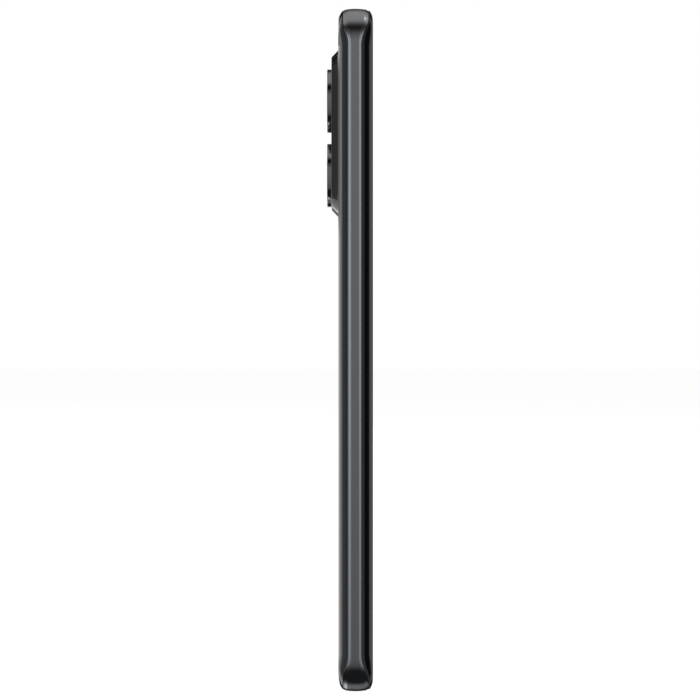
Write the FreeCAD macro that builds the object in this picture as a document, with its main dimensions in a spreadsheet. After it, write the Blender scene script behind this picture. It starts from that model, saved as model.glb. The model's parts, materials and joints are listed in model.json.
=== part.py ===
import FreeCAD, Part
import math
import os
from types import SimpleNamespace

import Sketcher

# A smartphone, standing upright: X is its width with the side keys at +X, Y its depth with
# the display facing -Y and the camera island on +Y, Z its height. The origin is the middle
# of the bottom edge, half way through the body's depth. All lengths are in millimetres.

V = FreeCAD.Vector
AXES = {"X": V(1, 0, 0), "Y": V(0, 1, 0), "Z": V(0, 0, 1)}
PLANES = {"X": "YZ_Plane", "Y": "XZ_Plane", "Z": "XY_Plane"}

DIMENSIONS = {
    # outer body
    "phone_width": 73.0,
    "phone_height": 160.0,
    "phone_depth": 8.1,
    "corner_radius": 9.5,
    "curve_radius": 7.0,
    "front_drop": 1.98,
    "back_drop": 2.35,
    "side_inset": 0.45,
    "end_inset": 0.5,
    "lip_height": 0.85,
    "bevel_height": 0.6,
    "crown_radius": 14.6,
    "end_rounding": 1.2,
    "glass_thickness": 0.6,
    "cover_thickness": 0.7,
    "cover_sheet": 0.6,
    "adhesive": 0.15,
    "fit_gap": 0.1,
    # inner levels of the body, along Y
    "plate_front": -2.2,
    "plate_back": -1.45,
    "cover_seat": 3.0,
    "board_front": -0.9,
    "board_back": -0.1,
    "sub_front": -1.3,
    "sub_back": -0.9,
    "lid_front": 2.0,
    "lid_back": 2.6,
    # cavity of the frame
    "wall_side": 3.1,
    "wall_end": 2.9,
    "cavity_radius": 6.4,
    # camera island and its two rings
    "island_x": 16.2,
    "island_z": 134.6,
    "island_width": 29.2,
    "island_height": 41.2,
    "island_rise": 1.88,
    "island_slope": 1.88,
    "island_radius": 7.5,
    "ring_radius": 8.05,
    "ring_rise": 1.17,
    "ring_x": 20.3,
    "ring_z_upper": 143.6,
    "ring_pitch": 19.0,
    "window_radius": 5.6,
    "flash_x": 7.9,
    "flash_z": 147.0,
    # side keys
    "key_y": 0.25,
    "key_height": 1.5,
    "key_proud": 0.35,
    "power_z": 93.5,
    "power_length": 11.0,
    "volume_z": 116.0,
    "volume_length": 22.0,
    # bottom edge
    "port_y": 0.0,
    "port_width": 8.34,
    "port_height": 2.56,
    "port_shell": 0.3,
    "tray_x": -17.0,
    "tray_width": 13.5,
    "tray_height": 2.9,
    "pin_hole_radius": 0.45,
    "speaker_slot_x": 11.0,
    "speaker_slot_pitch": 2.6,
    "speaker_slot_width": 2.0,
    "speaker_slot_height": 1.1,
    "bottom_mic_x": -7.9,
    "top_mic_x": 9.0,
    "break_x": 26.2,
    "break_width": 1.2,
    "break_depth": 1.6,
    # power cell
    "battery_width": 64.0,
    "battery_low": 31.5,
    "battery_high": 103.5,
    "battery_back": 2.95,
    "coil_radius": 22.0,
    # front camera
    "front_camera_x": -24.5,
    "front_camera_z": 150.0,
    # fasteners
    "screw_radius": 0.6,
    "screw_head_radius": 1.15,
}


class Size:
    """A length that knows both its value and the sheet expression that gives it."""

    def __init__(self, value, text):
        self.value = value
        self.text = text

    def __add__(self, other):
        return Size(self.value + number(other), f"({self.text} + {formula(other)})")

    def __radd__(self, other):
        return size(other) + self

    def __rsub__(self, other):
        return size(other) - self

    def __sub__(self, other):
        return Size(self.value - number(other), f"({self.text} - {formula(other)})")

    def __mul__(self, other):
        return Size(self.value * number(other), f"({self.text} * {formula(other)})")

    def __truediv__(self, other):
        return Size(self.value / number(other), f"({self.text} / {formula(other)})")

    def __neg__(self):
        return Size(-self.value, f"(0 - {self.text})")

    def root(self):
        return Size(math.sqrt(self.value), f"sqrt({self.text})")


def number(size):
    return size.value if isinstance(size, Size) else float(size)


def formula(size):
    return size.text if isinstance(size, Size) else f"({float(size):.6g})"


def size(value):
    return value if isinstance(value, Size) else Size(float(value), formula(value))


doc = FreeCAD.newDocument("Smartphone")
sheet = doc.addObject("Spreadsheet::Sheet", "Dims")
for row, (alias, value) in enumerate(DIMENSIONS.items(), start=1):
    sheet.set(f"A{row}", alias)
    sheet.set(f"B{row}", str(value))
    sheet.setAlias(f"B{row}", alias)
doc.recompute()
d = SimpleNamespace(**{name: Size(value, f"Dims.{name}") for name, value in DIMENSIONS.items()})

nodes = []


def node(label, thing):
    """Give a finished sub-part its label and list it for export."""
    thing.Label = label
    nodes.append(thing)
    return thing


def bind(thing, prop, value):
    thing.setExpression(prop, formula(value))


# ---- sketches ------------------------------------------------------------------------------

def new_sketch(body, axis, level):
    """A sketch square to an axis at a level along it. The XZ plane's normal is -Y."""
    plane = next(item for item in body.Origin.OriginFeatures if item.Role == PLANES[axis])
    sketch = body.newObject("Sketcher::SketchObject", f"{body.Name}Sketch")
    sketch.AttachmentSupport = [(plane, "")]
    sketch.MapMode = "FlatFace"
    bind(sketch, "AttachmentOffset.Base.z", -size(level) if axis == "Y" else size(level))
    return sketch


def draw_loop(sketch, corners):
    """A closed loop of corners (x, y) or (x, y, radius). A radius makes the run to the next
    corner an arc, anticlockwise when it is positive and clockwise when it is negative."""
    points = [V(number(corner[0]), number(corner[1]), 0) for corner in corners]
    first = sketch.GeometryCount
    ends = []
    for index, corner in enumerate(corners):
        start, finish = points[index], points[(index + 1) % len(points)]
        if len(corner) == 2:
            sketch.addGeometry(Part.LineSegment(start, finish), False)
            ends.append((1, 2))
            continue
        radius = abs(number(corner[2]))
        turn = 1 if number(corner[2]) > 0 else -1
        chord = finish - start
        rise = math.sqrt(radius ** 2 - (chord.Length / 2) ** 2)
        across = V(-chord.y, chord.x, 0).normalize() * (rise * turn)
        centre = start + chord * 0.5 + across
        angles = [math.atan2(point.y - centre.y, point.x - centre.x) for point in (start, finish)]
        low, high = angles if turn > 0 else reversed(angles)
        circle = Part.Circle(centre, V(0, 0, 1), radius)
        sketch.addGeometry(Part.ArcOfCircle(circle, low, high), False)
        ends.append((1, 2) if turn > 0 else (2, 1))
    for index, corner in enumerate(corners):
        this, before = first + index, first + (index - 1) % len(corners)
        start, finish = ends[index][0], ends[index - 1][1]
        sketch.addConstraint(Sketcher.Constraint("Coincident", before, finish, this, start))
        for kind, place in (("DistanceX", corner[0]), ("DistanceY", corner[1])):
            made = sketch.addConstraint(
                Sketcher.Constraint(kind, -1, 1, this, start, number(place)))
            sketch.setExpression(f"Constraints[{made}]", formula(place))
        if len(corner) == 3:
            radius = size(corner[2])
            radius = radius if radius.value > 0 else -radius
            made = sketch.addConstraint(Sketcher.Constraint("Radius", this, radius.value))
            sketch.setExpression(f"Constraints[{made}]", radius.text)


def draw_circle(sketch, circle):
    x, y, radius = circle
    made = sketch.addGeometry(Part.Circle(V(number(x), number(y), 0), V(0, 0, 1), number(radius)), False)
    for constraint, value in ((("DistanceX", -1, 1, made, 3), x), (("DistanceY", -1, 1, made, 3), y),
                              (("Radius", made), radius)):
        index = sketch.addConstraint(Sketcher.Constraint(*constraint, number(value)))
        sketch.setExpression(f"Constraints[{index}]", formula(value))


def draw(sketch, outline):
    if isinstance(outline, tuple):
        draw_circle(sketch, outline)
    else:
        draw_loop(sketch, outline)


def rectangle(left, right, low, high, radius=None):
    """Corners of a rectangle, anticlockwise, with rounded corners if a radius is given."""
    if radius is None:
        return [(left, low), (right, low), (right, high), (left, high)]
    left, right, low, high = size(left), size(right), size(low), size(high)
    return [(left + radius, low), (right - radius, low, radius),
            (right, low + radius), (right, high - radius, radius),
            (right - radius, high), (left + radius, high, radius),
            (left, high - radius), (left, low + radius, radius)]


def around(x, z, width, height, radius=None):
    """The same, about a centre."""
    x, z = size(x), size(z)
    width, height = size(width), size(height)
    return rectangle(x - width / 2, x + width / 2, z - height / 2, z + height / 2, radius)


def slot(x, y, width, height):
    """A long hole with nearly half-round ends."""
    return around(x, y, width, height, size(height) * 0.49)


def mirrored(half):
    """Both sides of an outline, given its +X side from front to back."""
    other = []
    for index in range(len(half) - 1, -1, -1):
        corner = (-size(half[index][0]), half[index][1])
        if index > 0 and len(half[index - 1]) == 3:
            corner = corner + (half[index - 1][2],)
        other.append(corner)
    return half + other


# ---- solids --------------------------------------------------------------------------------

def pad(body, axis, outlines, low, high):
    """Add material to a body between two levels along an axis."""
    sketch = new_sketch(body, axis, high if axis == "Y" else low)
    for outline in outlines:
        draw(sketch, outline)
    feature = body.newObject("PartDesign::Pad", f"{body.Name}Pad")
    feature.Profile = sketch
    bind(feature, "Length", size(high) - low)
    sketch.Visibility = False
    return body


def pocket(body, axis, outlines, low, high):
    """Take material from a body between two levels along an axis."""
    sketch = new_sketch(body, axis, low if axis == "Y" else high)
    for outline in outlines:
        draw(sketch, outline)
    feature = body.newObject("PartDesign::Pocket", f"{body.Name}Pocket")
    feature.Profile = sketch
    bind(feature, "Length", size(high) - low)
    sketch.Visibility = False
    return body


def body(name):
    return doc.addObject("PartDesign::Body", name)


def slab(name, axis, outlines, low, high):
    return pad(body(name), axis, outlines, low, high)


def revolve(name, profile, x, z):
    """A turned piece on an axis along Y. Its profile's corners are (radius, y)."""
    turned = body(name)
    sketch = new_sketch(turned, "Z", 0)
    draw(sketch, profile)
    axis = next(item for item in turned.Origin.OriginFeatures if item.Role == "Y_Axis")
    feature = turned.newObject("PartDesign::Revolution", f"{name}Revolution")
    feature.Profile = sketch
    feature.ReferenceAxis = (axis, [""])
    feature.Angle = 360
    bind(turned, "Placement.Base.x", x)
    bind(turned, "Placement.Base.z", z)
    return turned


def box(name, x_range, y_range, z_range):
    made = doc.addObject("Part::Box", name)
    for prop, letter, (low, high) in zip(("Length", "Width", "Height"), "xyz",
                                         (x_range, y_range, z_range)):
        bind(made, prop, size(high) - low)
        bind(made, f"Placement.Base.{letter}", low)
    return made


def rod(name, axis, radius, low, high, across):
    """A round bar along an axis. `across` is its centre on the other two axes, in order."""
    made = doc.addObject("Part::Cylinder", name)
    made.Placement = FreeCAD.Placement(V(), FreeCAD.Rotation(V(0, 0, 1), AXES[axis]))
    bind(made, "Radius", radius)
    bind(made, "Height", size(high) - low)
    bind(made, f"Placement.Base.{axis.lower()}", low)
    for letter, place in zip("XYZ".replace(axis, ""), across):
        bind(made, f"Placement.Base.{letter.lower()}", place)
    return made


def join(name, pieces):
    made = doc.addObject("Part::MultiFuse", name)
    made.Shapes = pieces
    return made


def group(name, pieces):
    made = doc.addObject("Part::Compound", name)
    made.Links = pieces
    return made


def cut(name, base, tools):
    made = doc.addObject("Part::Cut", name)
    made.Base = base
    made.Tool = tools[0] if len(tools) == 1 else join(f"{name}Tools", tools)
    return made


def overlap(name, first, second):
    made = doc.addObject("Part::Common", name)
    made.Base = first
    made.Tool = second
    return made


# ---- shared outlines of the body -----------------------------------------------------------

half_width = d.phone_width / 2
half_depth = d.phone_depth / 2
glass_x = half_width - d.side_inset
front_flat_x = glass_x - (d.curve_radius * d.curve_radius
                          - (d.curve_radius - d.front_drop) * (d.curve_radius - d.front_drop)).root()
back_flat_x = glass_x - (d.curve_radius * d.curve_radius
                         - (d.curve_radius - d.back_drop) * (d.curve_radius - d.back_drop)).root()
front_edge_y = d.front_drop - half_depth
back_edge_y = half_depth - d.back_drop
lip_back_y = front_edge_y + d.lip_height
glass_back_y = d.glass_thickness - half_depth
curve_centre_y = d.curve_radius - half_depth
inner_curve = d.curve_radius - d.glass_thickness
edge_fall = curve_centre_y - front_edge_y
glass_edge_inner_x = front_flat_x + (inner_curve * inner_curve - edge_fall * edge_fall).root()
back_centre_y = half_depth - d.curve_radius
cover_curve = d.curve_radius - d.cover_sheet
seat_curve = cover_curve - d.adhesive
cover_seat_y = d.cover_seat + d.adhesive
cover_inner_y = half_depth - d.cover_thickness


def back_curve_x(radius, level):
    """Where the back's curve, or one inside it, crosses a level."""
    drop = level - back_centre_y
    return back_flat_x + (radius * radius - drop * drop).root()


def inset_plan(side, end, radius):
    """The phone's outline seen from the front, pulled in at its sides and ends."""
    return rectangle(side - half_width, half_width - side, end, d.phone_height - end, radius)


def end_profile():
    """The body seen from its side: gently crowned ends with rounded edges."""
    rounding_y = half_depth - d.end_rounding
    reach = d.crown_radius - d.end_rounding
    rise = (reach * reach - rounding_y * rounding_y).root()
    top = d.phone_height - d.crown_radius
    share = d.crown_radius / reach
    crown_y = rounding_y * share
    return [(half_depth, d.crown_radius - rise), (half_depth, top + rise, d.end_rounding),
            (crown_y, top + rise * share, d.crown_radius), (-crown_y, top + rise * share, d.end_rounding),
            (-half_depth, top + rise), (-half_depth, d.crown_radius - rise, d.end_rounding),
            (-crown_y, d.crown_radius - rise * share, d.crown_radius),
            (crown_y, d.crown_radius - rise * share, d.end_rounding)]


def shell(name, section, plan):
    """A layer of the body: its section, limited by its plan outline and the body's ends."""
    along = slab(f"{name}Section", "Z", [section], 0, d.phone_height)
    seen = slab(f"{name}Plan", "Y", [plan], -d.phone_depth, d.phone_depth)
    ends = slab(f"{name}Ends", "X", [end_profile()], -d.phone_width, d.phone_width)
    return overlap(f"{name}Layer", overlap(f"{name}Blank", along, seen), ends)


glass_plan = inset_plan(d.side_inset, d.end_inset, d.corner_radius - d.side_inset)
frame_plan = rectangle(-half_width, half_width, 0, d.phone_height, d.corner_radius)


# ---- display -------------------------------------------------------------------------------

def earpiece_slot(name):
    return box(name, (-6, 6), (-half_depth - 1, d.plate_back), (157.35, 157.75))


def make_front_glass():
    section = mirrored([(front_flat_x, -half_depth, d.curve_radius), (glass_x, front_edge_y),
                        (glass_edge_inner_x, front_edge_y, -inner_curve),
                        (front_flat_x, glass_back_y)])
    layer = shell("Glass", section, glass_plan)
    node("front_glass", cut("FrontGlass", layer, [earpiece_slot("GlassSlot")]))


def make_display_bezel():
    """The dark plastic rim that the glass is bonded to, between it and the metal frame."""
    section = mirrored([(front_flat_x, glass_back_y, inner_curve), (glass_edge_inner_x, front_edge_y),
                        (glass_x, front_edge_y), (glass_x, lip_back_y, -d.curve_radius),
                        (front_flat_x, d.lip_height - half_depth)])
    layer = shell("Bezel", section, glass_plan)
    opening = slab("BezelOpening", "Y", [inset_plan(2.3, 2.6, 7.3)], -half_depth, 0)
    node("display_bezel", cut("DisplayBezel", layer, [opening, earpiece_slot("BezelSlot")]))


def make_oled_panel():
    panel_edge = -2.75
    panel_curve = inner_curve - 0.5
    drop = curve_centre_y - panel_edge
    outer_x = front_flat_x + (inner_curve * inner_curve - drop * drop).root()
    inner_x = front_flat_x + (panel_curve * panel_curve - drop * drop).root()
    section = mirrored([(front_flat_x, glass_back_y, inner_curve), (outer_x, panel_edge),
                        (inner_x, panel_edge, -panel_curve), (front_flat_x, glass_back_y + 0.5)])
    sheet_blank = slab("PanelSection", "Z", [section], 3.1, d.phone_height - 3.1)
    plan = slab("PanelPlan", "Y", [inset_plan(2.35, 3.1, 6.8)], -half_depth, 0)
    panel = overlap("PanelBlank", sheet_blank, plan)
    hole = rod("PanelHole", "Y", 2.3, -half_depth, 0, (d.front_camera_x, d.front_camera_z))
    node("oled_panel", cut("OledPanel", panel, [hole]))


def make_display_back():
    """The metal-backed cushion behind the panel, the fingerprint sensor and the panel's tail."""
    outline = rectangle(-30.8, 30.8, 5, 155, 5)
    hole = (d.front_camera_x, d.front_camera_z, size(2.3))
    node("display_cushion", slab("Cushion", "Y", [outline, hole], glass_back_y + 0.5, -2.75))
    node("fingerprint_sensor", box("Fingerprint", (-4.5, 4.5), (-2.75, -2.3), (28, 37)))
    tail = [(-2.75, 7), (-2.6, 7), (-2.6, 14.4), (-1.3, 14.4), (-1.3, 18), (d.plate_back, 18),
            (d.plate_back, 14.6), (-2.75, 14.6)]
    node("display_flex", slab("DisplayFlex", "X", [tail], -7, 7))


# ---- frame ---------------------------------------------------------------------------------

def key_cutters():
    """Room for the side keys: the slots for the caps, wider behind for flanges and switches."""
    tools = []
    for name, middle, length in (("Power", d.power_z, d.power_length),
                                 ("Volume", d.volume_z, d.volume_length)):
        for part, inner, outer, spare in (("Cap", 35.0, 38.0, 0), ("Flange", 34.0, 35.5, 1.0)):
            opening = around(d.key_y, middle, d.key_height + d.fit_gap * 2 + spare,
                             length + d.fit_gap * 2 + spare * 2, 0.7)
            tools.append(slab(f"{name}{part}Room", "X", [opening], inner, outer))
    tools.append(box("SwitchRoom", (33.0, 34.4), (-1.0, 1.5), (85.5, 130.5)))
    return tools


def port_outline(spare):
    wall = d.port_shell + spare
    return slot(0, d.port_y, d.port_width + wall * 2, d.port_height + wall * 2)


def end_cutters():
    """Holes in the bottom and top edges: port, tray, microphones and speaker."""
    tray = slot(d.tray_x, d.port_y, d.tray_width + d.fit_gap * 2, d.tray_height + d.fit_gap * 2)
    tools = [slab("PortHole", "Z", [port_outline(0.15)], -1, d.wall_end + 2),
             slab("TrayHole", "Z", [tray], -1, d.wall_end + 1),
             rod("BottomMicHole", "Z", 0.45, -1, 4, (d.bottom_mic_x, d.port_y)),
             rod("TopMicHole", "Z", 0.45, 156, 161, (d.top_mic_x, d.port_y))]
    for index in range(5):
        middle = d.speaker_slot_x + d.speaker_slot_pitch * index
        outline = slot(middle, d.port_y, d.speaker_slot_width, d.speaker_slot_height)
        tools.append(slab(f"SpeakerSlot{index}", "Z", [outline], -1, d.wall_end + 1))
    return tools


def break_boxes(name):
    """The four places where plastic crosses the metal, two in each end."""
    made = []
    for end, (low, high) in (("Bottom", (-1, d.break_depth)),
                             ("Top", (d.phone_height - d.break_depth, d.phone_height + 1))):
        for side, middle in (("Left", -d.break_x), ("Right", d.break_x)):
            width = (middle - d.break_width / 2, middle + d.break_width / 2)
            made.append(box(f"{name}{end}{side}", width, (-half_depth, half_depth), (low, high)))
    return made


def frame_blank(name):
    """The frame before its cavity is cut: a flat strip between two bevels at the sides, which
    widens to most of the depth round the corners and across both ends."""
    strip_front = lip_back_y + d.bevel_height
    section = mirrored([(front_flat_x, d.lip_height - half_depth, d.curve_radius), (glass_x, lip_back_y),
                        (half_width, strip_front), (half_width, back_edge_y - d.bevel_height),
                        (glass_x, back_edge_y, d.curve_radius),
                        (back_curve_x(d.curve_radius, d.cover_seat), d.cover_seat)])
    return shell(name, section, frame_plan)


def seat_section(curve, level, back):
    """All that lies behind the curved seat of the back cover, up to a level behind it."""
    edge_x, flat_x = back_curve_x(curve, back_edge_y), back_curve_x(curve, level)
    return [(edge_x, back_edge_y), (half_width, back_edge_y), (half_width, back), (-half_width, back),
            (-half_width, back_edge_y), (-edge_x, back_edge_y, -curve), (-flat_x, level),
            (flat_x, level, -curve)]


def make_frame():
    cavity = inset_plan(d.wall_side, d.wall_end, d.cavity_radius)
    tools = [slab("FrameCavity", "Y", [cavity], d.plate_back, half_depth),
             slab("FrameOpening", "Y", [inset_plan(4.1, 4, 5.6)], -half_depth, d.plate_back + 1),
             slab("FrameStep", "Y", [inset_plan(2.3, 2.6, 7.3)], -half_depth, -2.3),
             box("EarpieceDuct", (-6, 6), (-half_depth, d.plate_back + 0.5), (155.5, 157.75)),
             overlap("CoverSeat", slab("CoverSeatSection", "Z",
                                       [seat_section(seat_curve, d.cover_seat, half_depth)],
                                       0, d.phone_height),
                     slab("CoverSeatPlan", "Y", [glass_plan], 0, half_depth))]
    tools += key_cutters() + end_cutters() + break_boxes("BreakRoom")
    node("frame_band", cut("FrameBand", frame_blank("Frame"), tools))
    strips = join("BreakStrips", break_boxes("Break"))
    node("antenna_breaks", overlap("AntennaBreaks", frame_blank("BreakFrame"), strips))


def make_chassis_plate():
    holes = [(d.front_camera_x, d.front_camera_z, size(2.5)), rectangle(-7.5, 7.5, 13.8, 15.2)]
    holes += [(size(x), size(z), d.screw_radius) for x, z in SCREWS]
    plate = slab("ChassisPlate", "Y", [inset_plan(4.1, 4, 5.6)] + holes, d.plate_front, d.plate_back)
    port_room = rectangle(-5, 5, 3, 8.2)
    node("chassis_plate", pocket(plate, "Y", [port_room], d.plate_back - 0.3, d.plate_back))


# ---- back cover, camera island and rings ---------------------------------------------------

def island_solid(name, inset, low, high):
    """The island's sloped block. The inner one, pulled in, hollows it out."""
    block = body(name)
    width, height = d.island_width - inset * 2, d.island_height - inset * 2
    radius = d.island_radius - inset
    slope = d.island_slope
    sections = []
    for level, pull in ((low, 0), (high, slope)):
        sketch = new_sketch(block, "Y", level)
        draw(sketch, around(d.island_x, d.island_z, width - size(pull) * 2, height - size(pull) * 2,
                            radius - size(pull)))
        sections.append(sketch)
    loft = block.newObject("PartDesign::AdditiveLoft", f"{name}Loft")
    loft.Profile = sections[0]
    loft.Sections = sections[1:]
    loft.Ruled = True
    return block


def make_back_cover():
    edge_x, seat_x = back_curve_x(cover_curve, back_edge_y), back_curve_x(cover_curve, cover_seat_y)
    section = [(glass_x, back_edge_y, d.curve_radius), (back_flat_x, half_depth),
               (-back_flat_x, half_depth, d.curve_radius), (-glass_x, back_edge_y),
               (-edge_x, back_edge_y, -cover_curve), (-seat_x, cover_seat_y),
               (seat_x, cover_seat_y, -cover_curve), (edge_x, back_edge_y)]
    sheet_blank = shell("Cover", section, glass_plan)
    top = half_depth + d.island_rise
    island = island_solid("Island", 0, half_depth - 0.05, top)
    whole = join("CoverBlank", [sheet_blank, island])
    recess = inset_plan(4.3, d.wall_end, 5.2)
    tools = [slab("CoverRecess", "Y", [recess], 0, cover_inner_y),
             island_solid("IslandRoom", 1.1, cover_inner_y - 0.1, top - 0.8),
             rod("FlashHole", "Y", 2.4, half_depth, 7, (d.flash_x, d.flash_z)),
             rod("SensorHole", "Y", 1.5, half_depth, 7, (d.flash_x, d.flash_z - 9)),
             rod("BackMicHole", "Y", 0.5, half_depth, 7, (d.flash_x, d.flash_z - 16))]
    for name, height in ring_heights():
        tools.append(rod(f"RingHole{name}", "Y", d.ring_radius - 1.45, half_depth - 1, 7,
                         (d.ring_x, height)))
    node("back_cover", cut("BackCover", whole, tools))
    layer = slab("AdhesiveSection", "Z", [seat_section(seat_curve, d.cover_seat, half_depth)],
                 1.2, d.phone_height - 1.2)
    outer = slab("AdhesivePlan", "Y", [inset_plan(1.2, 1.2, 8.3),
                                       inset_plan(d.wall_side, d.wall_end, d.cavity_radius)],
                 0, half_depth)
    over = slab("AdhesiveOver", "Z", [seat_section(cover_curve, cover_seat_y, half_depth + 1)],
                0, d.phone_height)
    node("cover_adhesive", cut("CoverAdhesive", overlap("AdhesiveRing", layer, outer), [over]))
    node("flash_lens", rod("FlashLens", "Y", 2.4, 5.0, top + 0.03, (d.flash_x, d.flash_z)))
    node("sensor_window", rod("SensorWindow", "Y", 1.5, 5.0, top + 0.03, (d.flash_x, d.flash_z - 9)))


def ring_heights():
    return (("Upper", d.ring_z_upper), ("Lower", d.ring_z_upper - d.ring_pitch))


def make_lens_rings():
    base = half_depth + d.island_rise
    face = base + d.ring_rise
    seat = d.window_radius - 0.6
    collar = d.ring_radius - 1.45
    profile = [(seat, base - 0.6), (collar, base - 0.6), (collar, base), (d.ring_radius, base),
               (d.ring_radius, face - 0.2), (d.ring_radius - 0.2, face), (d.window_radius + 0.15, face),
               (d.window_radius, face - 0.15), (d.window_radius, face - 0.8), (seat, face - 0.8)]
    for name, height in ring_heights():
        node(f"lens_ring_{name.lower()}", revolve(f"LensRing{name}", profile, d.ring_x, height))
        window = rod(f"LensWindow{name}", "Y", d.window_radius, face - 0.8, face - 0.2, (d.ring_x, height))
        node(f"lens_window_{name.lower()}", window)


# ---- cameras -------------------------------------------------------------------------------

def camera_case(name, middle, side, back):
    """A camera module's can on its sensor board, with a round hole at the lens end."""
    case = slab(name, "Y", [around(d.ring_x, middle, side, side, 0.8)], d.plate_back, back)
    pocket(case, "Y", [around(d.ring_x, middle, side - 1.2, side - 1.2, 0.4)], d.sub_back, back - 0.6)
    pocket(case, "Y", [(d.ring_x, middle, size(4.1))], back - 1, back)
    return case


def moving_ring(name, middle, side, opening, low, high):
    return slab(name, "Y", [around(d.ring_x, middle, side, side, 0.6), (d.ring_x, middle, size(opening))],
                low, high)


def make_rear_cameras():
    upper, lower = [height for _, height in ring_heights()]
    node("main_camera_case", camera_case("MainCase", upper, size(12), 5.1))
    node("ois_guide", moving_ring("OisGuide", upper, 10.2, 3.0, -0.3, 0.2))
    node("ois_carrier", moving_ring("OisCarrier", upper, 9.8, 3.0, 0.4, 0.9))
    barrel = [(size(0), 1.1), (3.9, 1.1), (3.9, 2.6), (3.5, 2.6), (3.5, 5.0), (2.6, 5.0), (size(0), 4.2)]
    node("main_lens", revolve("MainLens", barrel, d.ring_x, upper))
    node("wide_camera_case", camera_case("WideCase", lower, size(11), 4.7))
    barrel = [(size(0), 0.4), (3.6, 0.4), (3.6, 2.0), (3.1, 2.0), (3.1, 4.6), (2.2, 4.6), (size(0), 4.0)]
    node("wide_lens", revolve("WideLens", barrel, d.ring_x, lower))


def make_front_camera():
    x, z = d.front_camera_x, d.front_camera_z
    housing = slab("FrontCamera", "Y", [around(x, z, 6.2, 6.2, 0.6)], d.plate_back, 1.9)
    pad(housing, "Y", [(x, z, size(2.0))], glass_back_y + 0.1, d.plate_back)
    node("front_camera", housing)


# ---- boards and what is on them ------------------------------------------------------------

# Places (x, z) of the identical screws: six in the upper lid, four in the lower, two in the speaker.
UPPER_SCREWS = ((-30.4, 152.4), (-30.4, 109.2), (-8.5, 109.2), (8.6, 149.5), (8.6, 117.0), (30.2, 109.2))
LOWER_SCREWS = ((-30.2, 24.6), (-30.2, 7.8), (5.4, 24.8), (-7.3, 9.4))
SPEAKER_SCREWS = ((10.6, 29.0), (30.6, 29.0))
SCREWS = UPPER_SCREWS + LOWER_SCREWS + SPEAKER_SCREWS


def upper_board_outline():
    """The main board fills the top of the cavity beside the cameras and runs under them."""
    camera = d.front_camera_x
    return [(-32.8, 106), (32.4, 106), (32.4, 113), (11, 113), (11, 156.2), (7.4, 156.2), (7.4, 151.4),
            (-7.4, 151.4), (-7.4, 156.2), (camera + 3.4, 156.2), (camera + 3.4, d.front_camera_z - 3.4),
            (-32.8, d.front_camera_z - 3.4)]


def make_main_board():
    holes = [(size(x), size(z), size(0.8)) for x, z in UPPER_SCREWS[1:]]
    board = slab("MainBoard", "Y", [upper_board_outline()] + holes, d.board_front, d.board_back)
    node("main_board", board)
    cans = []
    for left, right, low, high in ((-27, -5, 124, 144), (-4, 6.5, 120, 148), (-27, 6, 111.5, 119)):
        can = slab(f"Shield{low:.0f}", "Y", [rectangle(left, right, low, high, 0.8)], d.board_back, 1.7)
        inner = rectangle(left + 0.2, right - 0.2, low + 0.2, high - 0.2, 0.6)
        cans.append(pocket(can, "Y", [inner], d.board_back, 1.5))
    node("board_shields", group("BoardShields", cans))
    chips = [box("Processor", (-23, -9), (d.board_back, 1.2), (127, 141)),
             box("Memory", (-2.5, 5), (d.board_back, 1.0), (124, 136))]
    node("board_chips", group("BoardChips", chips))
    sockets = [box(f"Socket{index}", (x, x + 6), (d.sub_front, d.board_front), (107, 109.6))
               for index, x in enumerate((-4.0, -18.0))]
    node("board_sockets", group("BoardSockets", sockets))


def boss_points(points):
    return [(size(x), size(z)) for x, z in points]


def make_board_lids():
    """The plastic lids over the two boards, each with hollow posts for its screws."""
    for label, outline, points, level in (
            ("upper_lid", [(-32.8, 105.6), (32.4, 105.6), (32.4, 113.4), (12.2, 113.4), (12.2, 156.2),
                           (-27.5, 156.2), (-32.8, 150.9)], UPPER_SCREWS, d.board_back),
            ("lower_lid", [(-32.8, 9.0), (-28.2, 4.2), (7.4, 4.2), (7.4, 27.2), (-32.8, 27.2)],
             LOWER_SCREWS, d.sub_back)):
        name = label.title().replace("_", "")
        lid = slab(name, "Y", [outline], d.lid_front, d.lid_back)
        for x, z in boss_points(points):
            pad(lid, "Y", [(x, z, size(1.3))], level, d.lid_front)
        for x, z in boss_points(points):
            pocket(lid, "Y", [(x, z, d.screw_radius)], level, d.lid_back)
        node(label, lid)


def make_sub_board():
    outline = [(-32.8, 9.4), (-27.6, 3.5), (-4.8, 3.5), (-4.8, 8.4), (4.8, 8.4), (4.8, 3.5), (7.4, 3.5),
               (7.4, 27.0), (-32.8, 27.0)]
    holes = [(size(x), size(z), size(0.8)) for x, z in LOWER_SCREWS]
    node("sub_board", slab("SubBoard", "Y", [outline] + holes, d.sub_front, d.sub_back))


def make_screws():
    made = []
    for index, (x, z) in enumerate(SCREWS):
        radius, head = d.screw_radius, d.screw_head_radius
        profile = [(size(0), d.plate_front + 0.1), (radius, d.plate_front + 0.1), (radius, d.lid_back),
                   (head, d.lid_back), (head, d.lid_back + 0.35), (0.4, d.lid_back + 0.35),
                   (0.4, d.lid_back + 0.15), (size(0), d.lid_back + 0.15)]
        made.append(revolve(f"Screw{index}", profile, x, z))
    node("screws", group("Screws", made))


def make_microphones():
    bottom = box("BottomMic", (d.bottom_mic_x - 1.4, d.bottom_mic_x + 1.4), (d.sub_back, 0.5), (3.5, 6.0))
    top = box("TopMic", (d.top_mic_x - 1.4, d.top_mic_x + 1.4), (d.board_back, 1.1), (153.6, 156.1))
    node("microphones", group("Microphones", [bottom, top]))


# ---- battery, coil, flexes -----------------------------------------------------------------

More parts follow.
